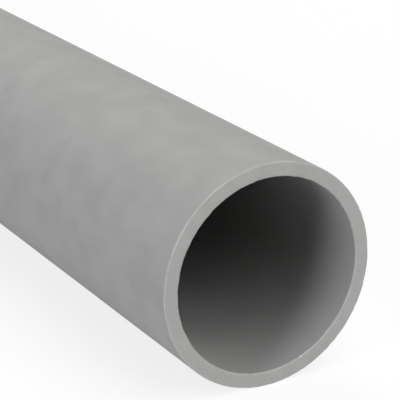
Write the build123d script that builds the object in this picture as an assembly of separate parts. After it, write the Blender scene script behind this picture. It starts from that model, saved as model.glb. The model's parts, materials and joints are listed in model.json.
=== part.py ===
"""A straight length of grey PVC pressure pipe, sawn square at both ends and lying on a level floor.

Millimetres, +Z up. The pipe runs along X, and the origin is on the floor under the middle of its length.
"""

import os

from build123d import *

# Driving dimensions of the pipe
OUTSIDE_DIAMETER = 110.0
WALL_THICKNESS = 7.1
LENGTH = 1000.0

# At each cut the outside edge and the bore edge are broken at 45 degrees
OUTSIDE_EDGE_BREAK = 0.3
BORE_EDGE_BREAK = 0.4

# Radii that follow from the driving dimensions
OUTSIDE_RADIUS = OUTSIDE_DIAMETER / 2
BORE_RADIUS = OUTSIDE_RADIUS - WALL_THICKNESS


def rims_by_radius(tube):
    """The circular edges of a tube in groups of one radius, the smallest radius first."""
    return tube.edges().filter_by(GeomType.CIRCLE).group_by(SortBy.RADIUS)


def make_pipe():
    """Extrudes the ring-shaped section along X, then breaks the edges of its two cuts."""
    section = Circle(OUTSIDE_RADIUS) - Circle(BORE_RADIUS)
    first_cut = Plane(origin=(-LENGTH / 2, 0, OUTSIDE_RADIUS), z_dir=(1, 0, 0))
    tube = extrude(first_cut * section, LENGTH)
    tube = chamfer(rims_by_radius(tube)[-1], OUTSIDE_EDGE_BREAK)
    tube = chamfer(rims_by_radius(tube)[0], BORE_EDGE_BREAK)
    return tube


os.makedirs("parts", exist_ok=True)
export_step(make_pipe(), "parts/pipe.step")
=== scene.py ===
"""Dresses a sawn length of grey PVC pressure pipe: its mesh, its finishes, a white studio and the camera.

Metres, +Z up. The pipe lies along X on a level floor, its middle over the origin, and the cut end that faces
the camera is the one at +X.
"""

import json
import logging
import math
from abc import ABC, abstractmethod
from dataclasses import dataclass
from enum import Enum, IntEnum
from typing import Any, Callable, ClassVar

import bpy
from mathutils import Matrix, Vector, noise

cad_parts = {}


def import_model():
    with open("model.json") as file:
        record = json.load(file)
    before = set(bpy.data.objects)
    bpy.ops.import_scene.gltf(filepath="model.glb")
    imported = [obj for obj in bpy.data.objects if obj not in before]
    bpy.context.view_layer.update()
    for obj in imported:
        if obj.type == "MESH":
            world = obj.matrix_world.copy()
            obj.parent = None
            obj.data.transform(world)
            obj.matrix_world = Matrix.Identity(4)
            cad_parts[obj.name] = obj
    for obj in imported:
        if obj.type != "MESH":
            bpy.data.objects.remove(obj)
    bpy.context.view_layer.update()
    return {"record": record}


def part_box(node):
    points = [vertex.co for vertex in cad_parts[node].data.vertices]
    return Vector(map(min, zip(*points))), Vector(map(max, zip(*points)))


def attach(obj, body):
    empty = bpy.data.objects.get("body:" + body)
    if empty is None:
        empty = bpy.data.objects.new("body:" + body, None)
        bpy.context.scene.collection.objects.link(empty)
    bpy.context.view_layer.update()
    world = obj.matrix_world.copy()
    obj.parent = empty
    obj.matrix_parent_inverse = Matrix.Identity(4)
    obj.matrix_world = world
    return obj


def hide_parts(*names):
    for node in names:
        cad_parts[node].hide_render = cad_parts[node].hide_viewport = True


LOG = logging.getLogger("pipe")

MILLIMETRE = 0.001
PIPE_NODE = "pipe"
# The mesh note of how far each corner is lightened, partly by scuffing and partly as a painted highlight.
WEAR_AND_HIGHLIGHT_NOTE = "edge_wear_and_highlight"

Colour = tuple[float, float, float]
Feed = bpy.types.NodeSocket | float | tuple

WHITE: Colour = (1.0, 1.0, 1.0)


class SocketKind(Enum):
    """The kinds of socket that the effect groups have."""

    VALUE = "NodeSocketFloat"
    VECTOR = "NodeSocketVector"


class Sum(Enum):
    """The sums that the finishes and the studio work out, by the Math node's own names."""

    MULTIPLY = "MULTIPLY"
    MULTIPLY_ADD = "MULTIPLY_ADD"
    DIVIDE = "DIVIDE"
    POWER = "POWER"
    MAXIMUM = "MAXIMUM"


class Element(Enum):
    """The elements of a mesh that are selected, by the names of the select modes."""

    EDGE = "EDGE"
    FACE = "FACE"


class Zone(IntEnum):
    """The zones of the pipe's surface, each the index of its material slot."""

    SKIN = 0
    BORE = 1
    CUT = 2
    OUTSIDE_EDGE = 3
    BORE_EDGE = 4


class NodeBoard:
    """Adds and wires the nodes of one shader tree."""

    def __init__(self, tree: bpy.types.NodeTree) -> None:
        """Keeps the tree that the nodes go into."""
        self.tree = tree

    def add(self, kind: str, **settings: Any) -> bpy.types.Node:
        """Adds a node and sets its properties.

        Args:
            kind: The node's type, such as ShaderNodeTexNoise.
            settings: The node's properties by name.

        Returns:
            The new node.
        """
        node = self.tree.nodes.new(kind)
        for name, value in settings.items():
            setattr(node, name, value)
        return node

    def feed(self, socket: bpy.types.NodeSocket, value: Feed) -> None:
        """Links a socket to another one, or sets its own value.

        Args:
            socket: The input to fill.
            value: The output that feeds it, or a plain value.
        """
        if isinstance(value, bpy.types.NodeSocket):
            self.tree.links.new(value, socket)
        else:
            socket.default_value = value

    def work_out(self, kind: Sum, *values: Feed) -> bpy.types.NodeSocket:
        """Works out one number from others.

        Args:
            kind: What is done with the numbers.
            values: The numbers, in the Math node's own order.

        Returns:
            The socket with the result.
        """
        node = self.add("ShaderNodeMath", operation=kind.value)
        for socket, value in zip(node.inputs, values):
            self.feed(socket, value)
        return node.outputs[0]

    def span(self, value: Feed, low: Feed, high: Feed, to_low: Feed, to_high: Feed) -> bpy.types.NodeSocket:
        """Maps the span from low to high onto the span from to_low to to_high, and stops at its ends.

        Args:
            value: The number to map.
            low: The lower end of its own span.
            high: The upper end of its own span.
            to_low: What the lower end becomes.
            to_high: What the upper end becomes.

        Returns:
            The socket with the mapped number.
        """
        node = self.add("ShaderNodeMapRange", clamp=True)
        for name, number in zip(("Value", "From Min", "From Max", "To Min", "To Max"),
                                (value, low, high, to_low, to_high)):
            self.feed(node.inputs[name], number)
        return node.outputs["Result"]

    def noise(self, place: Feed, scale: Feed, detail: float, roughness: float = 0.5) -> bpy.types.NodeSocket:
        """Samples a soft noise.

        Args:
            place: The coordinates to sample it at.
            scale: How many of its blotches lie in a metre.
            detail: How many finer layers it has.
            roughness: How strong the finer layers are.

        Returns:
            The socket with the noise, between 0 and 1.
        """
        node = self.add("ShaderNodeTexNoise", noise_dimensions="3D")
        self.feed(node.inputs["Vector"], place)
        self.feed(node.inputs["Scale"], scale)
        self.feed(node.inputs["Detail"], detail)
        self.feed(node.inputs["Roughness"], roughness)
        return node.outputs["Fac"]

    def stretch(self, place: Feed, shares: tuple[float, float, float]) -> bpy.types.NodeSocket:
        """Scales coordinates along X, Y and Z.

        Args:
            place: The coordinates.
            shares: The three factors. A small one draws a pattern out along its axis.

        Returns:
            The socket with the scaled coordinates.
        """
        node = self.add("ShaderNodeVectorMath", operation="MULTIPLY")
        self.feed(node.inputs[0], place)
        self.feed(node.inputs[1], shares)
        return node.outputs[0]


class Effect(ABC):
    """A surface effect that several finishes share, kept as one shader node group."""

    NAME: ClassVar[str]
    INPUTS: ClassVar[dict[str, SocketKind]]
    OUTPUTS: ClassVar[tuple[str, ...]]

    @classmethod
    def group(cls) -> bpy.types.NodeTree:
        """Builds the node group the first time, and finds it after that.

        Returns:
            The group.
        """
        found = bpy.data.node_groups.get(cls.NAME)
        if found is not None:
            return found
        tree = bpy.data.node_groups.new(cls.NAME, "ShaderNodeTree")
        for name, kind in cls.INPUTS.items():
            tree.interface.new_socket(name=name, in_out="INPUT", socket_type=kind.value)
        for name in cls.OUTPUTS:
            tree.interface.new_socket(name=name, in_out="OUTPUT", socket_type=SocketKind.VALUE.value)
        board = NodeBoard(tree)
        given = board.add("NodeGroupInput")
        result = board.add("NodeGroupOutput")
        cls.wire(board, given.outputs, result.inputs)
        return tree

    @classmethod
    @abstractmethod
    def wire(cls, board: NodeBoard, given: bpy.types.NodeOutputs, result: bpy.types.NodeInputs) -> None:
        """Wires the inside of the group.

        Args:
            board: The group's own tree.
            given: What the group is given, by name.
            result: What the group puts out, by name.
        """

    @classmethod
    def place(cls, board: NodeBoard, **values: Feed) -> bpy.types.NodeSocket:
        """Places the group in a material.

        Args:
            board: The material's tree.
            values: What feeds each of the group's inputs, by name.

        Returns:
            The group's first output.
        """
        node = board.add("ShaderNodeGroup", node_tree=cls.group())
        for name, value in values.items():
            board.feed(node.inputs[name], value)
        return node.outputs[0]


class CloudyTone(Effect):
    """Soft blotches of a slightly lighter and darker tone, as unevenly mixed pigment leaves in the wall."""

    NAME = "cloudy_tone"
    INPUTS = {"Place": SocketKind.VECTOR, "Blotches": SocketKind.VALUE}
    OUTPUTS = ("Tone",)

    LENGTHWISE_SHARE = 0.8
    LAYERS = 2.0
    FINER_SHARE = 0.45
    LOWEST = 0.3
    HIGHEST = 0.7

    @classmethod
    def wire(cls, board: NodeBoard, given: bpy.types.NodeOutputs, result: bpy.types.NodeInputs) -> None:
        """Spreads a soft noise, drawn out a little along the pipe, from -1, dark, to 1, light.

        Args:
            board: The group's own tree.
            given: The coordinates, and how many blotches lie in a metre.
            result: The tone.
        """
        drawn = board.stretch(given["Place"], (cls.LENGTHWISE_SHARE, 1.0, 1.0))
        cloud = board.noise(drawn, given["Blotches"], cls.LAYERS, cls.FINER_SHARE)
        board.feed(result["Tone"], board.span(cloud, cls.LOWEST, cls.HIGHEST, -1.0, 1.0))


class DrawnLines(Effect):
    """Fine lengthwise lines that the die leaves in an extruded wall."""

    NAME = "drawn_lines"
    INPUTS = {"Place": SocketKind.VECTOR, "Lines": SocketKind.VALUE}
    OUTPUTS = ("Height",)

    LENGTHWISE_SHARE = 0.01
    LAYERS = 2.0

    @classmethod
    def wire(cls, board: NodeBoard, given: bpy.types.NodeOutputs, result: bpy.types.NodeInputs) -> None:
        """Draws a fine noise out along the pipe."""
        drawn = board.stretch(given["Place"], (cls.LENGTHWISE_SHARE, 1.0, 1.0))
        board.feed(result["Height"], board.noise(drawn, given["Lines"], cls.LAYERS))


class Specks(Effect):
    """Small scattered spots, such as dust on a wall or pits in a cut."""

    NAME = "specks"
    INPUTS = {"Place": SocketKind.VECTOR, "Cells": SocketKind.VALUE, "Reach": SocketKind.VALUE}
    OUTPUTS = ("Mask",)

    # The higher this power, the fewer of the spots come near the full reach.
    FEW_LARGE_POWER = 3.0
    SOFT_SHARE = 0.3
    RAGGED_CELLS = 7.0
    RAGGED_LAYERS = 1.0
    RAGGED_SHARE = 1.6

    @classmethod
    def wire(cls, board: NodeBoard, given: bpy.types.NodeOutputs, result: bpy.types.NodeInputs) -> None:
        """Puts one ragged spot in each cell, from nothing to the full reach in size.

        Args:
            board: The group's own tree.
            given: The coordinates, how many cells lie in a metre, and the reach as a share of a cell.
            result: The mask, 1 in a spot and 0 outside.
        """
        cells = board.add("ShaderNodeTexVoronoi", feature="F1", voronoi_dimensions="3D")
        board.feed(cells.inputs["Vector"], given["Place"])
        board.feed(cells.inputs["Scale"], given["Cells"])
        lot = board.add("ShaderNodeSeparateColor")
        board.feed(lot.inputs[0], cells.outputs["Color"])
        size = board.work_out(Sum.POWER, lot.outputs[0], cls.FEW_LARGE_POWER)
        reach = board.work_out(Sum.MULTIPLY, size, given["Reach"])
        inner = board.work_out(Sum.MULTIPLY, reach, cls.SOFT_SHARE)
        finer = board.work_out(Sum.MULTIPLY, given["Cells"], cls.RAGGED_CELLS)
        rough = board.noise(given["Place"], finer, cls.RAGGED_LAYERS)
        ragged = board.work_out(Sum.MULTIPLY_ADD, rough, cls.RAGGED_SHARE, 1.0 - cls.RAGGED_SHARE / 2)
        distance = board.work_out(Sum.DIVIDE, cells.outputs["Distance"], ragged)
        board.feed(result["Mask"], board.span(distance, inner, reach, 1.0, 0.0))


class EdgeWear(Effect):
    """The uneven pale band along an edge: partly the scuff that handling leaves, partly a painted highlight.
    """

    NAME = "edge_wear_and_highlight"
    INPUTS = {"Place": SocketKind.VECTOR, "Wear": SocketKind.VALUE}
    OUTPUTS = ("Share",)

    PATCHES = 170.0
    LAYERS = 3.0
    LOWEST = 0.36
    HIGHEST = 0.62
    FAINTEST = 0.1

    @classmethod
    def wire(cls, board: NodeBoard, given: bpy.types.NodeOutputs, result: bpy.types.NodeInputs) -> None:
        """Breaks the pale band up into stronger and fainter patches.

        Args:
            board: The group's own tree.
            given: The coordinates, and the share of scuffing and painted highlight that the mesh notes
                there.
            result: The share of the full pale band.
        """
        patches = board.noise(given["Place"], cls.PATCHES, cls.LAYERS)
        strength = board.span(patches, cls.LOWEST, cls.HIGHEST, cls.FAINTEST, 1.0)
        board.feed(result["Share"], board.work_out(Sum.MULTIPLY, strength, given["Wear"]))


@dataclass(frozen=True)
class Finish(ABC):
    """What one zone of the pipe's surface is made to look like.

    Attributes:
        name: The material's name.
        colour: The mean colour, in linear light.
        roughness: The mean roughness.
        shine: The strength of the surface gloss, 0.5 being that of plain plastic.
        wear_and_highlight_share: How much an edge's scuffing and painted highlight lighten the colour.
    """

    name: str
    colour: Colour
    roughness: float
    shine: float
    wear_and_highlight_share: float

    def make(self) -> bpy.types.Material:
        """Makes the material.

        Returns:
            The material, with its tones and relief wired.
        """
        material = bpy.data.materials.new(self.name)
        material.use_nodes = True
        material.diffuse_color = (*self.colour, 1.0)
        board = NodeBoard(material.node_tree)
        shader = material.node_tree.nodes["Principled BSDF"]
        board.feed(shader.inputs["Specular IOR Level"], self.shine)
        place = board.add("ShaderNodeTexCoord").outputs["Object"]
        self.dress(board, shader, place)
        return material

    @abstractmethod
    def dress(self, board: NodeBoard, shader: bpy.types.Node, place: bpy.types.NodeSocket) -> None:
        """Wires the finish's own tones, gloss and relief.

        Args:
            board: The material's tree.
            shader: Its Principled BSDF.
            place: The object coordinates, in metres.
        """

    def tint(
        self, board: NodeBoard, shader: bpy.types.Node, place: bpy.types.NodeSocket, factor: Feed
    ) -> None:
        """Feeds the base colour with the mean colour times a factor, lightened at the edges: scuff and
        painted highlight.

        Args:
            board: The material's tree.
            shader: Its Principled BSDF.
            place: The object coordinates, in metres.
            factor: The factor at each place, 1 being the mean colour.
        """
        pale_edge_note = board.add("ShaderNodeAttribute", attribute_name=WEAR_AND_HIGHLIGHT_NOTE).outputs["Fac"]
        pale_edge_share = EdgeWear.place(board, Place=place, Wear=pale_edge_note)
        scale = board.add("ShaderNodeVectorMath", operation="SCALE")
        board.feed(scale.inputs[0], self.colour)
        board.feed(scale.inputs["Scale"], board.work_out(Sum.MULTIPLY_ADD, pale_edge_share, self.wear_and_highlight_share, factor))
        board.feed(shader.inputs["Base Color"], scale.outputs[0])

    @staticmethod
    def relief(board: NodeBoard, shader: bpy.types.Node, height: Feed, depth: float) -> None:
        """Feeds the shader's normal with a bump.

        Args:
            board: The material's tree.
            shader: Its Principled BSDF.
            height: The height at each place, between 0 and 1.
            depth: What a height of 1 is in metres.
        """
        bump = board.add("ShaderNodeBump")
        board.feed(bump.inputs["Distance"], depth)
        board.feed(bump.inputs["Height"], height)
        board.feed(shader.inputs["Normal"], bump.outputs["Normal"])


@dataclass(frozen=True)
class ExtrudedWall(Finish):
    """The drawn skin of the pipe, outside or in the bore.

    Attributes:
        blotches: How many cloudy blotches lie in a metre.
        cloud_share: How far the blotches go to either side of the mean colour.
        gloss_share: How far they go to either side of the mean roughness.
        lines: How many drawn lines lie in a metre round the wall.
        line_depth: The depth of those lines in metres.
        speck_share: How much lighter a speck is than the mean colour.
    """

    blotches: float
    cloud_share: float
    gloss_share: float
    lines: float
    line_depth: float
    speck_share: float

    SPECK_CELLS: ClassVar[float] = 60.0
    SPECK_REACH: ClassVar[float] = 0.12

    def dress(self, board: NodeBoard, shader: bpy.types.Node, place: bpy.types.NodeSocket) -> None:
        """Wires cloudy tones, a few light specks, an uneven gloss and the drawn lines.

        Args:
            board: The material's tree.
            shader: Its Principled BSDF.
            place: The object coordinates, in metres.
        """
        tone = CloudyTone.place(board, Place=place, Blotches=self.blotches)
        specks = Specks.place(board, Place=place, Cells=self.SPECK_CELLS, Reach=self.SPECK_REACH)
        clouds = board.work_out(Sum.MULTIPLY_ADD, tone, self.cloud_share, 1.0)
        speckled = board.work_out(Sum.MULTIPLY_ADD, specks, self.speck_share, clouds)
        self.tint(board, shader, place, speckled)
        gloss = board.work_out(Sum.MULTIPLY_ADD, tone, self.gloss_share, self.roughness)
        board.feed(shader.inputs["Roughness"], gloss)
        height = DrawnLines.place(board, Place=place, Lines=self.lines)
        self.relief(board, shader, height, self.line_depth)


@dataclass(frozen=True)
class SawnFace(Finish):
    """The flat ring of a saw cut, or the edge that was scraped after it.

    Attributes:
        blotches: How many cloudy blotches lie in a metre.
        cloud_share: How far the blotches go to either side of the mean colour.
        pit_share: How much darker a pit is than the mean colour.
        chip_share: How much lighter a fresh chip is than the mean colour.
        chips: How many fresh chips lie in a metre along a line.
        chip_reach: The largest chip's radius, as a share of the distance between chips.
        mark_depth: The depth of the saw marks in metres.
    """

    blotches: float
    cloud_share: float
    pit_share: float
    chip_share: float
    chips: float
    chip_reach: float
    mark_depth: float

    PIT_CELLS: ClassVar[float] = 330.0
    PIT_REACH: ClassVar[float] = 0.3
    MARKS: ClassVar[float] = 700.0
    MARK_LAYERS: ClassVar[float] = 2.0
    MARK_LEAN_SHARES: ClassVar[tuple[float, float, float]] = (1.0, 0.06, 1.0)

    def dress(self, board: NodeBoard, shader: bpy.types.Node, place: bpy.types.NodeSocket) -> None:
        """Wires faint blotches, a few pits and chips, and the strokes of the saw.

        Args:
            board: The material's tree.
            shader: Its Principled BSDF.
            place: The object coordinates, in metres.
        """
        tone = CloudyTone.place(board, Place=place, Blotches=self.blotches)
        pits = Specks.place(board, Place=place, Cells=self.PIT_CELLS, Reach=self.PIT_REACH)
        chips = Specks.place(board, Place=place, Cells=self.chips, Reach=self.chip_reach)
        clouds = board.work_out(Sum.MULTIPLY_ADD, tone, self.cloud_share, 1.0)
        pitted = board.work_out(Sum.MULTIPLY_ADD, pits, -self.pit_share, clouds)
        chipped = board.work_out(Sum.MULTIPLY_ADD, chips, self.chip_share, pitted)
        self.tint(board, shader, place, chipped)
        board.feed(shader.inputs["Roughness"], self.roughness)
        strokes = board.noise(board.stretch(place, self.MARK_LEAN_SHARES), self.MARKS, self.MARK_LAYERS)
        self.relief(board, shader, strokes, self.mark_depth)


PIPE_GREY: Colour = (0.37, 0.37, 0.357)
# The bore's grey is darker than the outside grey of the same PVC: painted shade in the bore.
BORE_GREY_WITH_PAINTED_SHADE: Colour = (0.281, 0.281, 0.276)
SAWN_GREY: Colour = (0.401, 0.401, 0.3878)
# The two edge greys are partly real scuffing and partly a painted highlight along the broken edges.
WORN_AND_HIGHLIT_GREY: Colour = (0.388, 0.388, 0.3752)
SCRAPED_AND_HIGHLIT_GREY: Colour = (0.345, 0.345, 0.3337)

FINISHES: dict[Zone, Finish] = {
    Zone.SKIN: ExtrudedWall(
        "pvc_outside_skin", PIPE_GREY, roughness=0.92, shine=0.08, wear_and_highlight_share=0.12, blotches=68.0,
        cloud_share=0.05, gloss_share=0.05, lines=900.0, line_depth=0.03 * MILLIMETRE, speck_share=0.08,
    ),
    # The bore's darker grey is painted shade.
    Zone.BORE: ExtrudedWall(
        "pvc_bore_skin_with_painted_shade", BORE_GREY_WITH_PAINTED_SHADE, roughness=0.8, shine=0.1, wear_and_highlight_share=0.06, blotches=40.0,
        cloud_share=0.03, gloss_share=0.04, lines=700.0, line_depth=0.03 * MILLIMETRE, speck_share=0.03,
    ),
    Zone.CUT: SawnFace(
        "pvc_sawn_face", SAWN_GREY, roughness=0.85, shine=0.15, wear_and_highlight_share=0.08, blotches=140.0,
        cloud_share=0.035, pit_share=0.1, chip_share=0.1, chips=230.0, chip_reach=0.26,
        mark_depth=0.03 * MILLIMETRE,
    ),
    # Both edge finishes are lightened partly by scuffing and partly as a painted highlight.
    Zone.OUTSIDE_EDGE: SawnFace(
        "pvc_worn_highlit_outside_edge", WORN_AND_HIGHLIT_GREY, roughness=0.55, shine=0.25, wear_and_highlight_share=0.17, blotches=110.0,
        cloud_share=0.05, pit_share=0.12, chip_share=0.22, chips=520.0, chip_reach=0.5,
        mark_depth=0.02 * MILLIMETRE,
    ),
    Zone.BORE_EDGE: SawnFace(
        "pvc_scraped_highlit_bore_edge", SCRAPED_AND_HIGHLIT_GREY, roughness=0.6, shine=0.2, wear_and_highlight_share=0.25, blotches=130.0,
        cloud_share=0.09, pit_share=0.2, chip_share=0.75, chips=520.0, chip_reach=0.5,
        mark_depth=0.02 * MILLIMETRE,
    ),
}


@dataclass
class PipeLength:
    """The length of pipe: a round tube, sawn square, with its edges broken at both cuts.

    Attributes:
        length: The length along X.
        outside_radius: The radius of the outside wall.
        bore_radius: The radius of the bore.
        outside_break: The mean width of the broken outside edge.
        bore_break: The mean width of the broken bore edge.
        round_steps: The number of faces round the wall.
        ring_gap: The distance between the rings of faces along the wall, about.
    """

    length: float
    outside_radius: float
    bore_radius: float
    outside_break: float = 0.3 * MILLIMETRE
    bore_break: float = 0.4 * MILLIMETRE
    round_steps: int = 512
    ring_gap: float = 40.0 * MILLIMETRE

    # The faces across a broken edge, and how round they make it.
    EDGE_STEPS: ClassVar[int] = 4
    EDGE_PROFILE: ClassVar[float] = 0.4
    # The band beside a broken edge that keeps its smooth shading off the wall and the cut.
    GUARD_WIDTH: ClassVar[float] = 0.9 * MILLIMETRE
    # How strongly the two edges are lightened, partly by scuffing and partly as a painted highlight.
    EDGE_WEAR_AND_HIGHLIGHT: ClassVar[dict[Zone, float]] = {Zone.OUTSIDE_EDGE: 1.0, Zone.BORE_EDGE: 0.6}
    # How many wider and narrower patches of a break lie in a metre, and how far they may go from its mean.
    SCRAPE_PATCHES: ClassVar[float] = 425.0
    SCRAPE_SHARE: ClassVar[float] = 1.0
    # How near two places count as one, and how much of a face's normal points along X in a cut.
    NEAR: ClassVar[float] = 0.01 * MILLIMETRE
    SQUARE_ON: ClassVar[float] = 0.999
    # The angle up to which neighbouring faces are shaded as one.
    SMOOTH_ANGLE: ClassVar[float] = math.radians(40.0)

    @classmethod
    def from_frame(cls, record: dict[str, Any]) -> "PipeLength":
        """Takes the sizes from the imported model.

        Args:
            record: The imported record, whose mounts give the two radii.

        Returns:
            The pipe at those sizes.
        """
        radius = {mount["name"]: mount["dims"].get("r_mm") for mount in record["mounts"]}
        low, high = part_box(PIPE_NODE)
        return cls(high.x - low.x, radius["outside_wall"] * MILLIMETRE, radius["bore"] * MILLIMETRE)

    @property
    def axis_height(self) -> float:
        """How high the pipe's axis is over the floor."""
        return self.outside_radius

    @property
    def near_rim_centre(self) -> Vector:
        """The middle of the cut that faces the camera."""
        return Vector((self.length / 2, 0.0, self.axis_height))

    def build(self) -> bpy.types.Object:
        """Returns:
            The finished piece, at the origin, with its place in its mesh.
        """
        piece = self.roll_wall()
        self.cut_rings()
        self.thicken(piece)
        self.break_edges(piece, self.outside_radius, self.outside_break)
        self.break_edges(piece, self.bore_radius, self.bore_break)
        self.guard_cuts(piece)
        self.note_wear_and_highlight(piece)
        self.dress(piece)
        self.scrape(piece)
        bpy.ops.object.shade_smooth_by_angle(angle=self.SMOOTH_ANGLE)
        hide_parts(PIPE_NODE)
        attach(piece, "root")
        return piece

    def roll_wall(self) -> bpy.types.Object:
        """Adds the outside wall as an open tube along X.

        Returns:
            The tube, whose place is in its mesh.
        """
        bpy.ops.object.select_all(action="DESELECT")
        bpy.ops.mesh.primitive_cylinder_add(
            vertices=self.round_steps,
            radius=self.outside_radius,
            depth=self.length,
            end_fill_type="NOTHING",
            location=(0.0, 0.0, self.axis_height),
            rotation=(0.0, math.pi / 2, 0.0),
        )
        bpy.ops.object.transform_apply(location=True, rotation=True, scale=True)
        piece = bpy.context.object
        piece.name = "grey_pvc_pipe"
        piece.data.name = piece.name
        return piece

    def cut_rings(self) -> None:
        """Divides the tube into even rings of faces, with a narrow guard ring beside each cut."""
        guard = self.length / 2 - self.outside_break - self.GUARD_WIDTH
        count = round(2 * guard / self.ring_gap)
        bpy.ops.object.mode_set(mode="EDIT")
        for step in range(count + 1):
            bpy.ops.mesh.select_all(action="SELECT")
            place = guard * (2 * step / count - 1)
            bpy.ops.mesh.bisect(plane_co=(place, 0.0, 0.0), plane_no=(1.0, 0.0, 0.0))
        bpy.ops.object.mode_set(mode="OBJECT")

    def thicken(self, piece: bpy.types.Object) -> None:
        """Gives the tube its wall, inwards from the outside skin.

        Args:
            piece: The open tube.
        """
        bpy.ops.object.modifier_add(type="SOLIDIFY")
        wall = piece.modifiers[-1]
        wall.thickness = self.outside_radius - self.bore_radius
        wall.offset = -1.0
        wall.use_even_offset = True
        bpy.ops.object.modifier_apply(modifier=wall.name)

    def radius_at(self, point: Vector) -> float:
        """How far a point is from the pipe's axis."""
        return math.hypot(point.y, point.z - self.axis_height)

    def select(self, piece: bpy.types.Object, kind: Element, test: Callable[[Any], bool]) -> None:
        """Selects the edges or faces that pass a test, and opens edit mode on them.

        Args:
            piece: The pipe.
            kind: Which elements to select.
            test: Tells whether an edge or a face is selected.
        """
        bpy.ops.object.mode_set(mode="EDIT")
        bpy.ops.mesh.select_mode(type=kind.value)
        bpy.ops.mesh.select_all(action="DESELECT")
        bpy.ops.object.mode_set(mode="OBJECT")
        elements = piece.data.edges if kind is Element.EDGE else piece.data.polygons
        for element in elements:
            element.select = test(element)
        bpy.ops.object.mode_set(mode="EDIT")

    def break_edges(self, piece: bpy.types.Object, radius: float, width: float) -> None:
        """Breaks the sharp edges of one radius at both cuts.

        Args:
            piece: The pipe.
            radius: The radius of the two edges.
            width: How far the break reaches from each edge.
        """
        corners = piece.data.vertices

        def on_rim(edge: bpy.types.MeshEdge) -> bool:
            """Tells whether an edge lies on a rim of that radius.

            Args:
                edge: An edge of the mesh.

            Returns:
                Whether both its ends do.
            """
            ends = [corners[index].co for index in edge.vertices]
            at_cut = all(abs(abs(end.x) - self.length / 2) < self.NEAR for end in ends)
            return at_cut and all(abs(self.radius_at(end) - radius) < self.NEAR for end in ends)

        self.select(piece, Element.EDGE, on_rim)
        bpy.ops.mesh.bevel(
            offset_type="OFFSET",
            offset=width,
            segments=self.EDGE_STEPS,
            profile=self.EDGE_PROFILE,
            affect="EDGES",
        )
        bpy.ops.object.mode_set(mode="OBJECT")

    def at_cut(self, face: bpy.types.MeshPolygon) -> bool:
        """Whether a face lies flat in one of the two cuts."""
        return abs(face.normal.x) > self.SQUARE_ON and abs(face.center.x) > self.length / 2 - self.NEAR

    def guard_cuts(self, piece: bpy.types.Object) -> None:
        """Insets the two flat rings, so that their broken edges don't shade the rest of them.

        Args:
            piece: The pipe.
        """
        self.select(piece, Element.FACE, self.at_cut)
        bpy.ops.mesh.inset(thickness=self.GUARD_WIDTH, depth=0.0)
        bpy.ops.object.mode_set(mode="OBJECT")

    def edge_at(self, point: Vector) -> Zone | None:
        """Tells which broken edge a corner of the mesh lies on, while the breaks are still even.

        Args:
            point: The corner's place.

        Returns:
            The edge's zone, or None away from the edges.
        """
        from_cut = self.length / 2 - abs(point.x)
        radius = self.radius_at(point)
        if max(from_cut, self.outside_radius - radius) < self.outside_break + self.NEAR:
            return Zone.OUTSIDE_EDGE
        if max(from_cut, radius - self.bore_radius) < self.bore_break + self.NEAR:
            return Zone.BORE_EDGE
        return None

    def note_wear_and_highlight(self, piece: bpy.types.Object) -> None:
        """Keeps in the mesh how far each corner is lightened by scuffing and painted highlight, where the
        finishes read it.

        Args:
            piece: The pipe, with even breaks.
        """
        notes = piece.data.attributes.new(WEAR_AND_HIGHLIGHT_NOTE, "FLOAT", "POINT")
        for corner, note in zip(piece.data.vertices, notes.data):
            note.value = self.EDGE_WEAR_AND_HIGHLIGHT.get(self.edge_at(corner.co), 0.0)

    def zone_of(self, face: bpy.types.MeshPolygon) -> Zone:
        """Tells which zone a face belongs to, while the breaks are still even.

        Args:
            face: A face of the mesh.

        Returns:
            Its zone.
        """
        if self.at_cut(face):
            return Zone.CUT
        outside = self.radius_at(face.center) > (self.outside_radius + self.bore_radius) / 2
        width = self.outside_break if outside else self.bore_break
        if abs(face.center.x) > self.length / 2 - width:
            return Zone.OUTSIDE_EDGE if outside else Zone.BORE_EDGE
        return Zone.SKIN if outside else Zone.BORE

    def dress(self, piece: bpy.types.Object) -> None:
        """Gives each zone of the pipe its finish.

        Args:
            piece: The pipe, with even breaks.
        """
        for zone in Zone:
            piece.data.materials.append(FINISHES[zone].make())
        for face in piece.data.polygons:
            face.material_index = self.zone_of(face)

    def sharp_corner(self, point: Vector, edge: Zone) -> Vector:
        """Finds where the sharp edge was before it was broken.

        Args:
            point: A place on the break.
            edge: The edge that was broken.

        Returns:
            The place on the sharp edge that is nearest to it.
        """
        radius = self.outside_radius if edge is Zone.OUTSIDE_EDGE else self.bore_radius
        spoke = Vector((0.0, point.y, point.z - self.axis_height)).normalized() * radius
        return Vector((math.copysign(self.length / 2, point.x), spoke.y, spoke.z + self.axis_height))

    def scrape(self, piece: bpy.types.Object) -> None:
        """Widens and narrows the breaks from place to place, as a scraper in the hand leaves them.

        Args:
            piece: The pipe, with even breaks.
        """
        for corner in piece.data.vertices:
            edge = self.edge_at(corner.co)
            if edge is None:
                continue
            sharp = self.sharp_corner(corner.co, edge)
            uneven = noise.noise(sharp * self.SCRAPE_PATCHES)
            corner.co = sharp + (corner.co - sharp) * (1.0 + self.SCRAPE_SHARE * uneven)


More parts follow.
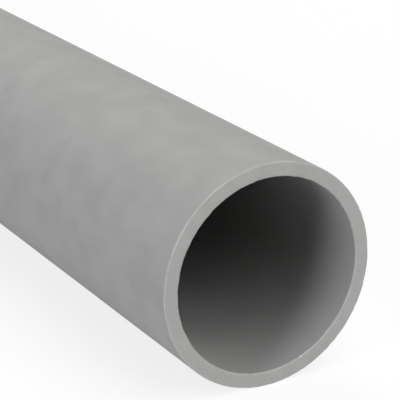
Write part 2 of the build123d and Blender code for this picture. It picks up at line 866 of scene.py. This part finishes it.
@dataclass(frozen=True)
class SoftLamp:
    """A broad lamp, far enough away to light the whole floor evenly.

    Attributes:
        name: The lamp's name.
        azimuth: Where it stands round the pipe, in degrees. 0 is at -Y and 90 at +X.
        elevation: How high it stands over the horizon, in degrees.
        strength: The light that it throws on a surface that faces it.
        spread: How wide it looks from the pipe, in degrees.
        colour: Its colour.
    """

    name: str
    azimuth: float
    elevation: float
    strength: float
    spread: float
    colour: Colour = WHITE

    def hang(self) -> bpy.types.Object:
        """Adds the lamp to the scene.

        Returns:
            The lamp's object.
        """
        data = bpy.data.lights.new(self.name, "SUN")
        data.energy = self.strength
        data.angle = math.radians(self.spread)
        data.color = self.colour
        lamp = bpy.data.objects.new(self.name, data)
        around, over = math.radians(self.azimuth), math.radians(self.elevation)
        level = math.cos(over)
        towards = Vector((math.sin(around) * level, -math.cos(around) * level, math.sin(over)))
        lamp.rotation_euler = towards.to_track_quat("Z", "Y").to_euler()
        bpy.context.scene.collection.objects.link(lamp)
        return lamp


COOL_WHITE: Colour = (0.975, 0.985, 1.035)

LAMPS: tuple[SoftLamp, ...] = (
    SoftLamp("left_lamp", azimuth=12.0, elevation=15.5, strength=1.65, spread=22.0, colour=COOL_WHITE),
    SoftLamp("front_lamp", azimuth=114.5, elevation=53.0, strength=2.14, spread=68.0),
    SoftLamp("mouth_lamp", azimuth=94.5, elevation=31.5, strength=0.44, spread=35.5),
    SoftLamp("back_lamp", azimuth=-105.5, elevation=35.5, strength=1.46, spread=42.0),
)


@dataclass(frozen=True)
class WhiteStudio:
    """A white floor under a white sky.

    Attributes:
        sky_light: The light that the sky throws on the pipe.
        floor_light: The share of its light that the floor throws back at the pipe.
        floor_glow: The even light of its own that the floor throws at the pipe, as a light table does.
        floor_side: The side of the square floor.
        shadow_share: How much of the pipe's shadow shows on the white floor.
    """

    sky_light: float = 0.0
    floor_light: float = 0.36
    floor_glow: float = 0.246
    floor_side: float = 200.0
    shadow_share: float = 0.2

    @staticmethod
    def plain_sight(board: NodeBoard) -> bpy.types.NodeSocket:
        """Tells the rays that see the studio, direct or by a reflection, from those that light the pipe.

        Args:
            board: The tree of the floor or of the sky.

        Returns:
            The socket that is 1 for a ray that sees the studio.
        """
        rays = board.add("ShaderNodeLightPath")
        seen = board.work_out(Sum.MAXIMUM, rays.outputs["Is Camera Ray"], rays.outputs["Is Glossy Ray"])
        return board.work_out(Sum.MAXIMUM, seen, rays.outputs["Is Transmission Ray"])

    def lay_floor(self) -> bpy.types.Object:
        """Lays the floor.

        Returns:
            The floor's object.
        """
        bpy.ops.object.select_all(action="DESELECT")
        bpy.ops.mesh.primitive_plane_add(size=self.floor_side)
        floor = bpy.context.object
        floor.name = "studio_floor"
        floor.data.materials.append(self.paint())
        return floor

    def paint(self) -> bpy.types.Material:
        """Makes the floor's material: white to the eye but for the pipe's shadow, and dimmer as a light.

        Returns:
            The material.
        """
        material = bpy.data.materials.new("white_floor")
        material.use_nodes = True
        nodes = material.node_tree.nodes
        board = NodeBoard(material.node_tree)
        seen = self.plain_sight(board)
        matt = nodes["Principled BSDF"]
        board.feed(matt.inputs["Base Color"], board.span(seen, 0.0, 1.0, self.floor_light, 1.0))
        board.feed(matt.inputs["Emission Strength"], board.span(seen, 0.0, 1.0, self.floor_glow, 0.0))
        board.feed(matt.inputs["Roughness"], 1.0)
        board.feed(matt.inputs["Specular IOR Level"], 0.0)
        white = board.add("ShaderNodeEmission")
        mix = board.add("ShaderNodeMixShader")
        board.feed(mix.inputs["Fac"], board.work_out(Sum.MULTIPLY, seen, 1.0 - self.shadow_share))
        board.feed(mix.inputs[1], matt.outputs[0])
        board.feed(mix.inputs[2], white.outputs[0])
        board.feed(nodes["Material Output"].inputs["Surface"], mix.outputs[0])
        return material

    def raise_sky(self) -> bpy.types.World:
        """Makes the sky: plain white to the eye, and dimmer as a light.

        Returns:
            The world.
        """
        world = bpy.data.worlds.new("white_sky")
        world.use_nodes = True
        board = NodeBoard(world.node_tree)
        back = world.node_tree.nodes["Background"]
        board.feed(back.inputs["Color"], (*WHITE, 1.0))
        strength = board.span(self.plain_sight(board), 0.0, 1.0, self.sky_light, 1.0)
        board.feed(back.inputs["Strength"], strength)
        bpy.context.scene.world = world
        return world


@dataclass(frozen=True)
class PhotoCamera:
    """The camera that sees the pipe as the photograph does.

    Attributes:
        picture_side_px: The side of the square picture.
        focal_px: The focal length.
        rim_centre_px: Where the middle of the near cut shows, from the top left corner.
        rim_depth: How far that point is in front of the camera, along its line of view.
        azimuth: Where the camera stands round the pipe, in degrees. 0 is at -Y and 90 at +X.
        dip: How far it looks down, in degrees.
    """

    picture_side_px: float = 400.0
    focal_px: float = 1662.2
    rim_centre_px: tuple[float, float] = (269.33, 276.56)
    rim_depth: float = 760.76 * MILLIMETRE
    azimuth: float = 60.0
    dip: float = 19.88

    SENSOR_MM: ClassVar[float] = 36.0
    CLIP: ClassVar[tuple[float, float]] = (0.01, 500.0)

    def set_up(self, rim_centre: Vector) -> bpy.types.Object:
        """Adds the camera and makes it the scene's own.

        Args:
            rim_centre: The middle of the near cut.

        Returns:
            The camera's object.
        """
        around, down = math.radians(self.azimuth), math.radians(self.dip)
        level = math.cos(down)
        right = Vector((math.cos(around), math.sin(around), 0.0))
        ahead = Vector((-math.sin(around) * level, math.cos(around) * level, -math.sin(down)))
        above = right.cross(ahead)
        across, below = ((px - self.picture_side_px / 2) / self.focal_px for px in self.rim_centre_px)
        data = bpy.data.cameras.new("photo_camera")
        data.sensor_width = self.SENSOR_MM
        data.lens = self.focal_px / self.picture_side_px * self.SENSOR_MM
        data.clip_start, data.clip_end = self.CLIP
        camera = bpy.data.objects.new(data.name, data)
        camera.location = rim_centre - (ahead + right * across - above * below) * self.rim_depth
        camera.rotation_euler = ahead.to_track_quat("-Z", "Y").to_euler()
        bpy.context.scene.collection.objects.link(camera)
        bpy.context.scene.camera = camera
        return camera


def main() -> None:
    """Builds the pipe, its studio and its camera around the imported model."""
    logging.basicConfig(level=logging.INFO, format="%(name)s: %(message)s")
    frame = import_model()
    pipe = PipeLength.from_frame(frame["record"])
    piece = pipe.build()
    LOG.info("piece %s: %d faces", piece.name, len(piece.data.polygons))
    studio = WhiteStudio()
    LOG.info("stage %s", studio.lay_floor().name)
    LOG.info("sky %s", studio.raise_sky().name)
    for lamp in LAMPS:
        LOG.info("lamp %s", lamp.hang().name)
    LOG.info("camera %s", PhotoCamera().set_up(pipe.near_rim_centre).name)
    bpy.context.scene.view_settings.view_transform = "Standard"


if __name__ == "__main__":
    main()
